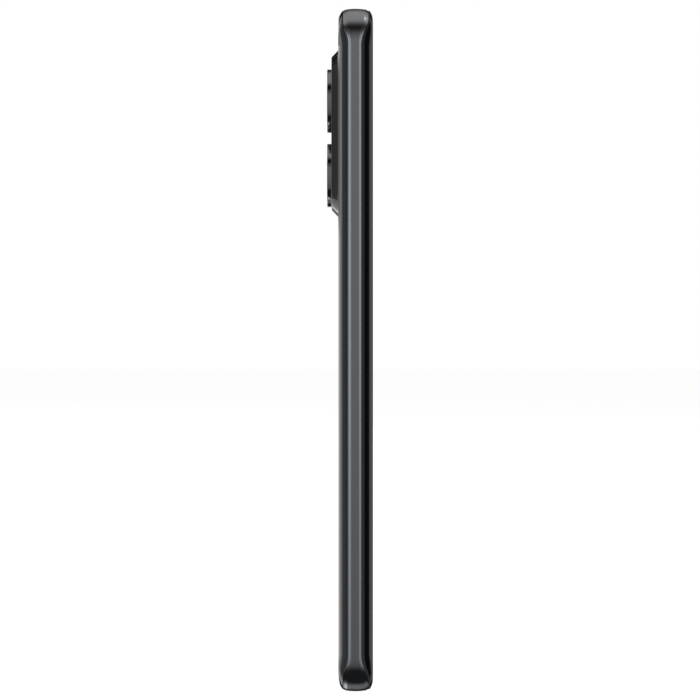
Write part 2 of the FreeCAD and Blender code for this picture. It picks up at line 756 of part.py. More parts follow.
def make_battery():
    half = d.battery_width / 2
    outline = rectangle(-half, half, d.battery_low, d.battery_high, 1.2)
    node("battery", slab("Battery", "Y", [outline], d.sub_front, d.battery_back))
    strips = [box(f"Tape{index}", (x, x + 16), (d.plate_back, d.sub_front), (36, 99))
              for index, x in enumerate((-28.0, 12.5))]
    node("battery_tape", group("BatteryTape", strips))
    node("battery_board", box("BatteryBoard", (-24, 10), (0.2, 1.4), (d.battery_high, d.battery_high + 1.8)))
    coil = slab("ChargingCoil", "Y", [(size(0), size(68), d.coil_radius), (size(0), size(68), size(9))],
                d.battery_back, d.battery_back + 0.3)
    node("charging_coil", coil)
    antenna = [rectangle(-26, -1, 120, 146, 1.5), rectangle(-22, -5, 124, 142, 1)]
    node("nfc_antenna", slab("NfcAntenna", "Y", antenna, d.lid_back, d.lid_back + 0.2))


def make_flexes():
    node("main_flex", box("MainFlex", (-5, 4), (d.plate_back, d.sub_front), (20.5, 111)))
    cable = rod("CoaxCable", "Z", 0.3, 20, 112, (-32.7, 0.5))
    plugs = [rod(f"CoaxPlug{index}", "Z", 0.6, low, low + 2, (-32.7, 0.5)) for index, low in
             enumerate((18.0, 112.0))]
    node("coax_cable", join("Coax", [cable] + plugs))


# ---- side keys -----------------------------------------------------------------------------

def make_key(label, middle, length, nubs):
    """A key: its cap in the frame's slot, a flange that keeps it in, and nubs for the domes."""
    name = label.title().replace("_", "")
    face = half_width + d.key_proud
    key = slab(name, "X", [around(d.key_y, middle, d.key_height, length, 0.7)], 35.0, face)
    pad(key, "X", [around(d.key_y, middle, d.key_height + 0.8, length + 1.6, 0.7)], 34.75, 35.05)
    for offset in nubs:
        pad(key, "X", [(d.key_y, middle + offset, size(0.5))], 34.3, 34.8)
    node(label, key)


def make_side_keys():
    make_key("power_key", d.power_z, d.power_length, (0,))
    make_key("volume_key", d.volume_z, d.volume_length, (-7, 7))
    switches = (d.power_z, d.volume_z - 7, d.volume_z + 7)
    domes = [rod(f"Dome{index}", "X", 1.0, 33.75, 34.1, (d.key_y, height))
             for index, height in enumerate(switches)]
    strip = box("KeyFlex", (33.6, 33.75), (-0.8, 1.3), (87, 129))
    node("key_switches", join("KeySwitches", [strip] + domes))
    bracket = slab("KeyBracket", "X", [rectangle(-0.9, 1.4, 85.7, 130.3)], 33.3, 33.6)
    pad(bracket, "X", [rectangle(-0.9, 1.4, 85.7, 86.6), rectangle(-0.9, 1.4, 129.4, 130.3)], 33.5, 34.4)
    node("key_bracket", bracket)


# ---- bottom edge: port, tray, speaker ------------------------------------------------------

def make_port():
    inner = slot(0, d.port_y, d.port_width, d.port_height)
    shell_body = slab("PortShell", "Z", [port_outline(0), inner], 0.35, 7.0)
    pad(shell_body, "Z", [port_outline(0)], 6.9, 7.6)
    node("usb_c_shell", shell_body)
    node("usb_c_tongue", slab("PortTongue", "Z", [around(0, d.port_y, 6.69, 0.7, 0.2)], 1.2, 6.9))


def make_tray():
    """The card tray with its gasket, the socket that it slides in, and the ejector."""
    x, y = d.tray_x, d.port_y
    head = slab("TrayHead", "Z", [slot(x, y, d.tray_width, d.tray_height)], 0, 2.4)
    flush = overlap("TrayHeadFlush", head, slab("TrayEnds", "X", [end_profile()], -40, 40))
    carrier = slab("TrayCarrier", "Z", [around(x + 0.9, y, 10.6, 1.4)], 2.3, 24)
    pocket(carrier, "Y", [rectangle(x - 3.6, x + 5.4, 8, 20.4, 0.8)], y - 0.35, y + 1)
    floor = slot(x, y, d.tray_width - 0.8, d.tray_height - 0.8)
    neck = [slot(x, y, d.tray_width + 1, d.tray_height + 1), floor]
    groove = slab("TrayGroove", "Z", neck, 1.1, 1.7)
    pin = rod("PinHole", "Z", d.pin_hole_radius, -1, 3, (x - 5.5, y))
    node("sim_tray", cut("SimTray", join("TrayBlank", [flush, carrier]), [groove, pin]))
    ring = [slot(x, y, d.tray_width + 0.1, d.tray_height + 0.1), floor]
    node("tray_gasket", slab("TrayGasket", "Z", ring, 1.1, 1.7))
    socket = slab("SimSocket", "Z", [rectangle(x - 6.8, x + 7.2, d.sub_back, y + 1.3),
                                     rectangle(x - 6.5, x + 6.9, y - 0.75, y + 1.1)], 4.2, 26.4)
    pad(socket, "Z", [rectangle(x - 6.8, x + 7.2, d.sub_back, y + 1.3)], 26.4, 26.8)
    node("sim_socket", socket)
    node("eject_pusher", box("EjectPusher", (x - 6.1, x - 4.9), (y - 0.5, y + 0.5), (2.7, 24.65)))
    lever = slab("EjectLever", "Y", [rectangle(x - 5.8, x + 4.6, 24.7, 25.6, 0.3)], y - 0.5, y + 0.5)
    node("eject_lever", lever)


def make_speaker():
    """The loudspeaker's box with its duct, the magnet fixed in it and the moving diaphragm."""
    case = slab("SpeakerBox", "Y", [rectangle(8.0, 32.6, 9.0, 27.4, 1)], d.plate_back, 2.7)
    pad(case, "Y", [rectangle(8.0, 24.6, 3.0, 10)], d.plate_back, 2.7)
    for x, z in boss_points(SPEAKER_SCREWS):
        pad(case, "Y", [rectangle(x - 1.7, x + 1.7, 26.5, z + 1.7)], d.plate_back, d.lid_back)
        pocket(case, "Y", [(x, z, d.screw_radius)], d.plate_back, d.lid_back)
    pocket(case, "Y", [rectangle(8.8, 31.8, 9.8, 26.6, 0.6)], -0.7, 2.0)
    pocket(case, "Z", [rectangle(9.2, 23.4, -0.8, 0.9)], 2.9, 10)
    node("speaker_box", case)
    node("speaker_magnet", box("SpeakerMagnet", (14.5, 25.5), (-0.7, 0.2), (13.5, 22.5)))
    cone = slab("SpeakerCone", "Y", [rectangle(12.5, 27.5, 11.5, 24.5, 2)], 1.1, 1.35)
    pad(cone, "Y", [rectangle(13.4, 26.6, 12.4, 23.6, 1), rectangle(13.9, 26.1, 12.9, 23.1, 0.8)], 0.2, 1.2)
    node("speaker_diaphragm", cone)
    last = d.speaker_slot_x + d.speaker_slot_pitch * 4
    mesh = rectangle(d.speaker_slot_x - 1.2, last + 1.2, -0.75, 0.75)
    node("speaker_mesh", slab("SpeakerMesh", "Z", [mesh], d.wall_end, d.wall_end + 0.1))


def make_earpiece():
    case = slab("EarpieceCase", "Y", [rectangle(-7, 7, 151.8, 156.8)], d.plate_back, 1.6)
    pocket(case, "Y", [rectangle(-6.4, 6.4, 152.4, 156.2)], -0.9, 1.1)
    pocket(case, "Y", [rectangle(-6, 6, 156.0, 157)], d.plate_back, 0)
    node("earpiece_case", case)
    node("earpiece_diaphragm", box("EarpieceDiaphragm", (-5.5, 5.5), (0.3, 0.5), (152.6, 155.9)))


def make_haptic():
    case = slab("HapticCase", "Y", [rectangle(-7.6, 6.4, 11, 20)], d.sub_back, 1.9)
    node("haptic_case", pocket(case, "Y", [rectangle(-7.2, 6.0, 11.4, 19.6)], d.sub_back + 0.3, 1.6))
    node("haptic_mass", box("HapticMass", (-5.0, 3.8), (-0.1, 1.3), (12, 19)))


make_front_glass()
make_display_bezel()
make_oled_panel()
make_display_back()
make_frame()
make_chassis_plate()
make_back_cover()
make_lens_rings()
make_rear_cameras()
make_front_camera()
make_main_board()
make_board_lids()
make_sub_board()
make_screws()
make_microphones()
make_battery()
make_flexes()
make_side_keys()
make_port()
make_tray()
make_speaker()
make_earpiece()
make_haptic()

doc.recompute()

for thing in doc.Objects:
    if {"Invalid", "Error"} & set(thing.State):
        raise RuntimeError(f"{thing.Name} ({thing.Label}) did not compute: {thing.State}")
for part in nodes:
    if part.Shape.isNull() or not part.Shape.isValid():
        raise RuntimeError(f"{part.Label} has no valid shape")
for part in nodes:
    part.Shape.exportStep(f"parts/{part.Label}.step")
print(f"{len(nodes)} sub-parts written")
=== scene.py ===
import json
import math

import bmesh
import bpy
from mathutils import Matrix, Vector


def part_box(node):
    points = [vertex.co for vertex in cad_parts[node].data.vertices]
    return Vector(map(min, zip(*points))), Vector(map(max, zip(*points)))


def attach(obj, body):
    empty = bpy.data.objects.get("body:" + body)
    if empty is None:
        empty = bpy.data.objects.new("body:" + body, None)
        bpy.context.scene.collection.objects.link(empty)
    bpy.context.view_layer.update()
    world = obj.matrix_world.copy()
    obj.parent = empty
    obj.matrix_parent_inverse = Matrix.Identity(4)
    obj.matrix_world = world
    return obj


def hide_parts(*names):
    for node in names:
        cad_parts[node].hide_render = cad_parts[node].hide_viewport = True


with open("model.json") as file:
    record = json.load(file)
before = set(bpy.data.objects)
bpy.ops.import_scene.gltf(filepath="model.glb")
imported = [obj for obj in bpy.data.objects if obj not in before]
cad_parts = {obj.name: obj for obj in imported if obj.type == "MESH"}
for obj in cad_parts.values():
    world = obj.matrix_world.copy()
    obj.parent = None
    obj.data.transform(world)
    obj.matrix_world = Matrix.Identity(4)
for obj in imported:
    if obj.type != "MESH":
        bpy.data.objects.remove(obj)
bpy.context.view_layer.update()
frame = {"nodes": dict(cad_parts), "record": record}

# ---- Soft boxes ------------------------------------------------------------------------------
# The phone is lit as dark glass is on a table top: cloth-faced soft boxes draw its edges, a card
# beside the camera greys the long side, and the room itself stays dim. Cloth over a wooden frame.

phone_middle = Vector((0, 0, 0.08))


def beside_phone(turn, rise, away, wide, tall):
    """Middle, half-width and half-height of a box aimed at the phone: `turn` degrees round from
    the bare long side towards the display, and `rise` degrees above the level."""
    turn, rise = math.radians(turn), math.radians(rise)
    level = Vector((-math.cos(turn), -math.sin(turn), 0))
    across = Vector((-level.y, level.x, 0))
    along = -level * math.sin(rise) + Vector((0, 0, math.cos(rise)))
    towards = level * math.cos(rise) + Vector((0, 0, math.sin(rise)))
    return phone_middle + towards * away, across * wide / 2, along * tall / 2


def soft_box(name, middle, across, along, glow, tint=(1, 1, 1)):
    """A glowing cloth. `glow` lists (share of the way up, brightness)."""
    mesh = bpy.data.meshes.new(name)
    corners = [middle - across - along, middle + across - along,
               middle + across + along, middle - across + along]
    mesh.from_pydata(corners, [], [(0, 1, 2, 3)])
    cloth = bpy.data.materials.new(name)
    cloth.use_nodes = True
    nodes, links = cloth.node_tree.nodes, cloth.node_tree.links
    shader = nodes["Principled BSDF"]
    shader.inputs["Base Color"].default_value = (0, 0, 0, 1)
    shader.inputs["Specular IOR Level"].default_value = 0
    shader.inputs["Emission Strength"].default_value = 1
    where = nodes.new("ShaderNodeTexCoord")
    shift = nodes.new("ShaderNodeVectorMath")
    shift.operation = "SUBTRACT"
    shift.inputs[1].default_value = middle
    climb = nodes.new("ShaderNodeVectorMath")
    climb.operation = "DOT_PRODUCT"
    climb.inputs[1].default_value = along / (2 * along.length_squared)
    centre = nodes.new("ShaderNodeMath")
    centre.inputs[1].default_value = 0.5
    ramp = nodes.new("ShaderNodeValToRGB")
    stops = ramp.color_ramp.elements
    stops[0].position, stops[1].position = glow[0][0], glow[-1][0]
    for share, _ in glow[1:-1]:
        stops.new(share)
    for stop, (_, bright) in zip(stops, glow):
        stop.color = (*(bright * part for part in tint), 1)
    links.new(where.outputs["Object"], shift.inputs[0])
    links.new(shift.outputs["Vector"], climb.inputs[0])
    links.new(climb.outputs["Value"], centre.inputs[0])
    links.new(centre.outputs["Value"], ramp.inputs["Fac"])
    links.new(ramp.outputs["Color"], shader.inputs["Emission Color"])
    mesh.materials.append(cloth)
    made = bpy.data.objects.new(name, mesh)
    bpy.context.scene.collection.objects.link(made)
    made.visible_camera = False
    made.visible_shadow = False


cool = (0.90, 0.96, 1.0)
soft_box("side_card", Vector((-0.112, 0, 0.1)), Vector((0, 0.13, 0)), Vector((0, 0, 0.2)),
         [(0.03, 0), (0.16, 0.20), (0.34, 0.26), (0.56, 0.33), (0.70, 0.345), (0.88, 0)])
soft_box("top_card", Vector((0.035, 0, 0.292)), Vector((0, 0.22, 0)), Vector((0.135, 0, 0)),
         [(0.02, 0), (0.21, 0.53), (0.57, 0.53), (0.98, 0)])
soft_box("bottom_card", *beside_phone(0, -116, 0.9, 0.9, 0.46), [(0, 0.3), (1, 0.3)])
soft_box("display_strip", *beside_phone(72, 0, 1.3, 0.52, 1.2),
         [(0.30, 0.53), (0.43, 0.66), (0.54, 0.80), (0.77, 0.82)], cool)
soft_box("back_strip", *beside_phone(-73, 0, 1.3, 0.76, 1.16),
         [(0.29, 0.60), (0.40, 0.74), (0.53, 0.96), (0.72, 0.92)], cool)
soft_box("back_near_box", *beside_phone(-104, 0, 1.4, 0.52, 2.2), [(0, 0.33), (1, 0.33)])
soft_box("back_far_box", *beside_phone(-133, -7, 1.4, 0.80, 2.16), [(0, 1.2), (1, 1.1)])
soft_box("display_far_box", *beside_phone(134, 0, 1.4, 0.7, 1.5), [(0, 0.45), (1, 0.45)])
soft_box("high_reflector", Vector((-0.017, -0.053, 0.262)), Vector((0.0205, 0.006, 0)),
         Vector((-0.004, 0.015, 0)), [(0, 1.9), (1, 1.9)], cool)
soft_box("low_reflector", Vector((0.0355, 0.0325, -0.09)), Vector((0.0225, -0.0095, 0.0125)),
         Vector((0.002, 0.012, 0.005)), [(0, 1.4), (1, 1.4)], cool)
soft_box("back_wall", *beside_phone(-161, 0, 1.35, 0.88, 0.8),
         [(0, 1.6), (0.62, 1.6), (0.65, 0.2), (0.79, 0.2), (0.82, 1.6)])
soft_box("key_side_card", *beside_phone(180, 8, 1.2, 0.5, 0.9), [(0, 0.12), (1, 0.20)])

# ---- Floor, room and camera --------------------------------------------------------------------
# White seamless paper, lit until it all but disappears, in a dim room with white walls. The
# camera stands level with the phone's middle, square to its bare long side.

paper_level, paper_reach = -0.0004, 9
paper_mesh = bpy.data.meshes.new("paper_floor")
paper_mesh.from_pydata([(-paper_reach, -paper_reach, paper_level), (paper_reach, -paper_reach, paper_level),
                        (paper_reach, paper_reach, paper_level), (-paper_reach, paper_reach, paper_level)],
                       [], [(0, 1, 2, 3)])
paper = bpy.data.materials.new("white_paper")
paper.use_nodes = True
paper_shader = paper.node_tree.nodes["Principled BSDF"]
paper_shader.inputs["Base Color"].default_value = (0.9, 0.9, 0.9, 1)
paper_shader.inputs["Roughness"].default_value = 0.9
paper_shader.inputs["Specular IOR Level"].default_value = 0
paper_shader.inputs["Emission Color"].default_value = (1, 1, 1, 1)
paper_shader.inputs["Emission Strength"].default_value = 0.955
paper_mesh.materials.append(paper)
floor = bpy.data.objects.new("paper_floor", paper_mesh)
bpy.context.scene.collection.objects.link(floor)
floor.visible_glossy = False

room = bpy.data.worlds.new("studio_room")
room.use_nodes = True
bpy.context.scene.world = room
room_nodes, room_links = room.node_tree.nodes, room.node_tree.links
wall_seen = room_nodes["Background"]
wall_seen.inputs["Color"].default_value = (1, 1, 1, 1)
wall_glow = room_nodes.new("ShaderNodeBackground")
wall_glow.inputs["Color"].default_value = (0.9, 0.95, 1.0, 1)
wall_glow.inputs["Strength"].default_value = 0.025
ray = room_nodes.new("ShaderNodeLightPath")
choose = room_nodes.new("ShaderNodeMixShader")
room_links.new(ray.outputs["Is Camera Ray"], choose.inputs["Fac"])
room_links.new(wall_glow.outputs["Background"], choose.inputs[1])
room_links.new(wall_seen.outputs["Background"], choose.inputs[2])
room_links.new(choose.outputs["Shader"], room_nodes["World Output"].inputs["Surface"])

camera_data = bpy.data.cameras.new("camera")
camera_data.sensor_width = 36
camera_data.lens = 116.0
camera_data.clip_start = 0.01
camera = bpy.data.objects.new("camera", camera_data)
bpy.context.scene.collection.objects.link(camera)
camera.location = (-0.5565, 0.00129, 0.080)
camera.rotation_euler = (math.pi / 2, 0, -math.pi / 2)
bpy.context.scene.camera = camera
bpy.context.scene.view_settings.view_transform = "Standard"

# ---- Metal band ------------------------------------------------------------------------------
# The band is aluminium, milled from one ring, fine-blasted and anodised graphite. A flat strip
# runs between two polished bevels, which spread apart round the corners where the glass ends.
# Room for the keys, the port, the card tray and the sound holes is milled through it.

MM = 0.001
band_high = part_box("frame_band")[1]
half_width, height = band_high.x, band_high.z
half_depth = -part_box("front_glass")[0].y
corner = 9.5 * MM
glass_inset = half_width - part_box("front_glass")[1].x
glass_edge = half_width - glass_inset
bend_radius = 7.0 * MM
front_drop, back_drop = 1.98 * MM, 2.35 * MM


def grain_group():
    """Shared surface: a colour and a roughness that vary a little with a fine grain, and the
    grain's own relief."""
    group = bpy.data.node_groups.new("surface_grain", "ShaderNodeTree")
    face = group.interface
    face.new_socket("Color", in_out="INPUT", socket_type="NodeSocketColor")
    for label, value in (("Shade Spread", 0.1), ("Roughness", 0.3), ("Roughness Spread", 0.05),
                         ("Grains per Metre", 9000.0), ("Relief", 0.1)):
        face.new_socket(label, in_out="INPUT", socket_type="NodeSocketFloat").default_value = value
    face.new_socket("Color", in_out="OUTPUT", socket_type="NodeSocketColor")
    face.new_socket("Roughness", in_out="OUTPUT", socket_type="NodeSocketFloat")
    face.new_socket("Normal", in_out="OUTPUT", socket_type="NodeSocketVector")
    nodes, links = group.nodes, group.links
    given, result = nodes.new("NodeGroupInput"), nodes.new("NodeGroupOutput")
    where = nodes.new("ShaderNodeTexCoord")
    fine = nodes.new("ShaderNodeTexNoise")
    fine.inputs["Detail"].default_value = 2
    broad = nodes.new("ShaderNodeTexNoise")
    broad.inputs["Scale"].default_value = 90
    both = nodes.new("ShaderNodeMath")
    both.operation = "MULTIPLY_ADD"
    both.inputs[1].default_value = 0.5
    halved = nodes.new("ShaderNodeMath")
    halved.operation = "MULTIPLY"
    halved.inputs[1].default_value = 0.5
    signed = nodes.new("ShaderNodeMath")
    signed.operation = "SUBTRACT"
    signed.inputs[1].default_value = 0.5
    shade = nodes.new("ShaderNodeMath")
    shade.operation = "MULTIPLY_ADD"
    shade.inputs[2].default_value = 1.0
    tone = nodes.new("ShaderNodeVectorMath")
    tone.operation = "SCALE"
    rough = nodes.new("ShaderNodeMath")
    rough.operation = "MULTIPLY_ADD"
    relief = nodes.new("ShaderNodeBump")
    relief.inputs["Distance"].default_value = 0.00002
    links.new(where.outputs["Object"], fine.inputs["Vector"])
    links.new(where.outputs["Object"], broad.inputs["Vector"])
    links.new(given.outputs["Grains per Metre"], fine.inputs["Scale"])
    links.new(broad.outputs["Fac"], halved.inputs[0])
    links.new(fine.outputs["Fac"], both.inputs[0])
    links.new(halved.outputs["Value"], both.inputs[2])
    links.new(both.outputs["Value"], signed.inputs[0])
    links.new(signed.outputs["Value"], shade.inputs[0])
    links.new(given.outputs["Shade Spread"], shade.inputs[1])
    links.new(given.outputs["Color"], tone.inputs[0])
    links.new(shade.outputs["Value"], tone.inputs["Scale"])
    links.new(signed.outputs["Value"], rough.inputs[0])
    links.new(given.outputs["Roughness Spread"], rough.inputs[1])
    links.new(given.outputs["Roughness"], rough.inputs[2])
    links.new(fine.outputs["Fac"], relief.inputs["Height"])
    links.new(given.outputs["Relief"], relief.inputs["Strength"])
    links.new(tone.outputs["Vector"], result.inputs["Color"])
    links.new(rough.outputs["Value"], result.inputs["Roughness"])
    links.new(relief.outputs["Normal"], result.inputs["Normal"])
    return group


surface_grain = grain_group()


def surface(name, color, rough, metal=0.0, spread=0.3, rough_spread=0.1, grains=9000, relief=0.08,
            specular=0.5, coat=0.0):
    """A material with the shared grain. Returns it with its grain node and its shader."""
    made = bpy.data.materials.new(name)
    made.use_nodes = True
    nodes, links = made.node_tree.nodes, made.node_tree.links
    shader = nodes["Principled BSDF"]
    shader.inputs["Metallic"].default_value = metal
    shader.inputs["Specular IOR Level"].default_value = specular
    shader.inputs["Coat Weight"].default_value = coat
    grain = nodes.new("ShaderNodeGroup")
    grain.node_tree = surface_grain
    grain.inputs["Color"].default_value = (*color, 1)
    grain.inputs["Shade Spread"].default_value = spread
    grain.inputs["Roughness"].default_value = rough
    grain.inputs["Roughness Spread"].default_value = rough_spread
    grain.inputs["Grains per Metre"].default_value = grains
    grain.inputs["Relief"].default_value = relief
    links.new(grain.outputs["Color"], shader.inputs["Base Color"])
    links.new(grain.outputs["Roughness"], shader.inputs["Roughness"])
    links.new(grain.outputs["Normal"], shader.inputs["Normal"])
    return made, grain, shader


def outline(left, right, bottom, top, radius, steps=20, straights=6):
    """Places round a rounded rectangle, each the middle of the local bend and the way outwards.
    The outline pulled in by an inset is then middle + outwards * (radius - inset)."""
    middles = [(right - radius, top - radius), (left + radius, top - radius),
               (left + radius, bottom + radius), (right - radius, bottom + radius)]
    found = []
    for index, middle in enumerate(middles):
        for step in range(steps + 1):
            angle = math.pi / 2 * (index + step / steps)
            found.append((middle, (math.cos(angle), math.sin(angle))))
        following = middles[(index + 1) % 4]
        outwards = found[-1][1]
        for step in range(1, straights):
            share = step / straights
            found.append(((middle[0] + (following[0] - middle[0]) * share,
                           middle[1] + (following[1] - middle[1]) * share), outwards))
    return found


def finished(name, verts, faces, crease=28):
    """An object from points and faces, facing outwards, smooth up to the crease angle."""
    mesh = bpy.data.meshes.new(name)
    mesh.from_pydata(verts, [], faces)
    tidy = bmesh.new()
    tidy.from_mesh(mesh)
    bmesh.ops.remove_doubles(tidy, verts=tidy.verts, dist=1e-7)
    bmesh.ops.recalc_face_normals(tidy, faces=tidy.faces)
    tidy.to_mesh(mesh)
    tidy.free()
    mesh.shade_smooth()
    mesh.set_sharp_from_angle(angle=math.radians(crease))
    made = bpy.data.objects.new(name, mesh)
    bpy.context.scene.collection.objects.link(made)
    return made


def flat_lying(u, depth, v):
    return u, depth, v


def swept(name, places, radius, profile, ends=False, lying=flat_lying):
    """A skin swept round an outline. `profile(middle, outwards)` lists (inset, depth). With
    ends the first and last loops are filled, and without them the profile closes on itself."""
    verts, faces = [], []
    rows = [profile(middle, outwards) for middle, outwards in places]
    around, along = len(places), len(rows[0])
    for (middle, outwards), row in zip(places, rows):
        for inset, depth in row:
            reach = radius - inset
            verts.append(lying(middle[0] + outwards[0] * reach, depth,
                               middle[1] + outwards[1] * reach))
    for spot in range(around):
        following = (spot + 1) % around
        for step in range(along - 1 if ends else along):
            beyond = (step + 1) % along
            faces.append((spot * along + step, following * along + step,
                          following * along + beyond, spot * along + beyond))
    if ends:
        faces.append([spot * along for spot in range(around)])
        faces.append([spot * along + along - 1 for spot in range(around)])
    return finished(name, verts, faces)


def eased(points, radii, steps=3):
    """A line of points with its inner corners rounded off by the given radii."""
    line = [points[0]]
    for index, radius in enumerate(radii):
        here = Vector(points[index + 1])
        before, after = Vector(points[index]) - here, Vector(points[index + 2]) - here
        if radius == 0:
            line.append(tuple(here))
            continue
        back = min(radius / math.tan(before.angle(after) / 2), before.length / 2.1, after.length / 2.1)
        start, end = here + before.normalized() * back, here + after.normalized() * back
        for step in range(steps + 1):
            share = step / steps
            line.append(tuple(start * (1 - share) ** 2 + here * 2 * share * (1 - share)
                              + end * share ** 2))
    line.append(points[-1])
    return line


def edge_x(middle, outwards):
    """How far from the phone's middle the glass's edge lies here."""
    return abs(middle[0] + outwards[0] * (corner - glass_inset))


def drop(x, whole):
    """How far the bent glass has come down at a distance from the phone's middle."""
    reach = math.sqrt(bend_radius ** 2 - (bend_radius - whole) ** 2)
    past = min(max(0.0, x - glass_edge + reach), reach)
    return bend_radius - math.sqrt(bend_radius ** 2 - past ** 2)


def lesser(a, b, blend=0.35 * MM):
    """The lesser of two lengths, with a smooth change-over."""
    share = max(0.0, min(1.0, 0.5 + (b - a) / (2 * blend)))
    return b + (a - b) * share - blend * share * (1 - share)


def flare(outwards):
    """How far the bevels have opened out: none along sides and ends, most round the corners."""
    return abs(2 * outwards[0] * outwards[1]) ** 1.5


def band_front(middle, outwards):
    lip = (0.72 - 0.35 * flare(outwards)) * MM
    return -lesser(half_depth - drop(edge_x(middle, outwards), front_drop) - lip, 3.08 * MM)


def band_back(middle, outwards):
    return lesser(half_depth - drop(edge_x(middle, outwards), back_drop), 3.0 * MM)


def crown(outwards, depth, bow=14.6 * MM):
    """The two ends bow outwards a little; the long sides are flat."""
    return (bow - math.sqrt(bow ** 2 - depth ** 2)) * outwards[1] ** 2


def band_profile(middle, outwards):
    front, back = band_front(middle, outwards), band_back(middle, outwards)
    bevel_in = (0.45 - 0.25 * outwards[1] ** 4) * MM
    first = front + (0.60 + 0.45 * flare(outwards)) * MM
    last = back - (0.72 + 0.35 * flare(outwards)) * MM
    line = [(2.3 * MM, front), (bevel_in, front)]
    line += [(0, first + (last - first) * step / 6) for step in range(7)]
    line += [(bevel_in, back), (2.3 * MM, back)]
    radii = [0.16 * MM, 0.22 * MM] + [0] * 5 + [0.22 * MM, 0.16 * MM]
    return [(inset + crown(outwards, depth), depth) for inset, depth in eased(line, radii, 4)]


def long_round(u, v, wide, tall, steps=10):
    """Outline of a long hole with round ends, or of a circle."""
    radius = min(wide, tall) / 2
    line = []
    for quarter, (side_u, side_v) in enumerate(((1, 1), (-1, 1), (-1, -1), (1, -1))):
        for step in range(steps + 1):
            angle = math.pi / 2 * (quarter + step / steps)
            line.append((u + side_u * (wide / 2 - radius) + radius * math.cos(angle),
                         v + side_v * (tall / 2 - radius) + radius * math.sin(angle)))
    return line


def pushed(name, axis, line, levels):
    """An outline pushed along an axis through levels of (position, growth of the outline)."""
    count = len(line)
    middle = Vector((sum(u for u, v in line) / count, sum(v for u, v in line) / count))
    verts, faces = [], []
    for level, growth in levels:
        for point in line:
            point = Vector(point)
            u, v = point + (point - middle).normalized() * growth
            verts.append({"X": (level, u, v), "Y": (u, level, v), "Z": (u, v, level)}[axis])
    for base in range(0, count * (len(levels) - 1), count):
        for spot in range(count):
            following = (spot + 1) % count
            faces.append((base + spot, base + following,
                          base + count + following, base + count + spot))
    faces += [list(range(count)), list(range(len(verts) - count, len(verts)))]
    return finished(name, verts, faces)


def joined(name, parts):
    """Several objects made into one."""
    whole = bmesh.new()
    for part in parts:
        whole.from_mesh(part.data)
        bpy.data.objects.remove(part)
    mesh = bpy.data.meshes.new(name)
    whole.to_mesh(mesh)
    whole.free()
    made = bpy.data.objects.new(name, mesh)
    bpy.context.scene.collection.objects.link(made)
    return made


def milled(piece, cutters, keep=False):
    """Cut the cutters out of a piece, or keep only what is inside them."""
    tool = joined("cutter", cutters)
    change = piece.modifiers.new("mill", "BOOLEAN")
    change.operation = "INTERSECT" if keep else "DIFFERENCE"
    change.solver = "EXACT"
    change.object = tool
    bpy.context.view_layer.update()
    result = bpy.data.meshes.new_from_object(
        piece.evaluated_get(bpy.context.evaluated_depsgraph_get()))
    piece.modifiers.clear()
    piece.data = result
    result.shade_smooth()
    result.set_sharp_from_angle(angle=math.radians(28))
    bpy.data.objects.remove(tool)


def dressed(piece, look, body="phone"):
    """Give a finished piece its one material and tie it to its body."""
    piece.data.materials.clear()
    piece.data.materials.append(look)
    for face in piece.data.polygons:
        face.material_index = 0
    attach(piece, body)


around_phone = outline(-half_width, half_width, 0, height, corner)
band = swept("metal_band", around_phone, corner, band_profile)
port_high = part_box("usb_c_shell")[1]
tray_low, tray_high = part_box("sim_tray")
tray_x = (tray_low.x + tray_high.x) / 2
out_below = [(4 * MM, 0), (0.1 * MM, 0), (-1 * MM, 1.1 * MM)]
key_y, key_tall, key_gap = 0.25 * MM, 1.5 * MM, 0.1 * MM
key_ends = {"power_key": (88 * MM, 99 * MM), "volume_key": (105 * MM, 127 * MM)}
rooms = [pushed("port_room", "Z", long_round(0, 0, 2 * port_high.x + 0.24 * MM, 2 * port_high.y + 0.24 * MM),
                out_below),
         pushed("tray_room", "Z", long_round(tray_x, 0, 13.7 * MM, 3.1 * MM), [(4 * MM, 0), (-1 * MM, 0)]),
         pushed("low_sound_hole", "Z", long_round(-7.9 * MM, 0, 0.9 * MM, 0.9 * MM), out_below),
         pushed("top_sound_hole", "Z", long_round(9 * MM, 0, 0.9 * MM, 0.9 * MM),
                [(height - 4 * MM, 0), (height + 1 * MM, 0)])]
for slot_number in range(5):
    rooms.append(pushed(f"sound_slot_{slot_number}", "Z",
                        long_round((11 + 2.6 * slot_number) * MM, 0, 2 * MM, 1.1 * MM), out_below))
for name, (bottom, top) in key_ends.items():
    rooms.append(pushed(f"{name}_room", "X",
                        long_round(key_y, (bottom + top) / 2, key_tall + 2 * key_gap,
                                   top - bottom + 2 * key_gap),
                        [(half_width - 4 * MM, 0), (half_width - 0.08 * MM, 0),
                         (half_width + 0.5 * MM, 0.58 * MM)]))

# ---- Antenna breaks --------------------------------------------------------------------------
# Four strips of plastic moulded into grooves across the ends of the band, so that the metal can
# work as aerials, then machined flush with it. Glass-filled, dyed nearly the metal's colour.

break_x, break_wide, break_deep = 26.2 * MM, 1.2 * MM, 1.6 * MM


def break_rooms():
    made = []
    for side in (-1, 1):
        for low_end, high_end in ((-1 * MM, break_deep), (height - break_deep, height + 1 * MM)):
            across = [(side * break_x - break_wide / 2, -5 * MM), (side * break_x + break_wide / 2, -5 * MM),
                      (side * break_x + break_wide / 2, 5 * MM), (side * break_x - break_wide / 2, 5 * MM)]
            made.append(pushed("break_room", "Z", across, [(low_end, 0), (high_end, 0)]))
    return made


breaks = bpy.data.objects.new("break_strips", band.data.copy())
bpy.context.scene.collection.objects.link(breaks)
milled(breaks, break_rooms(), keep=True)
dyed_plastic, _, _ = surface("dyed_plastic", (0.055, 0.057, 0.061), 0.42, grains=6000, relief=0.15)
dressed(breaks, dyed_plastic)
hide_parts("antenna_breaks")

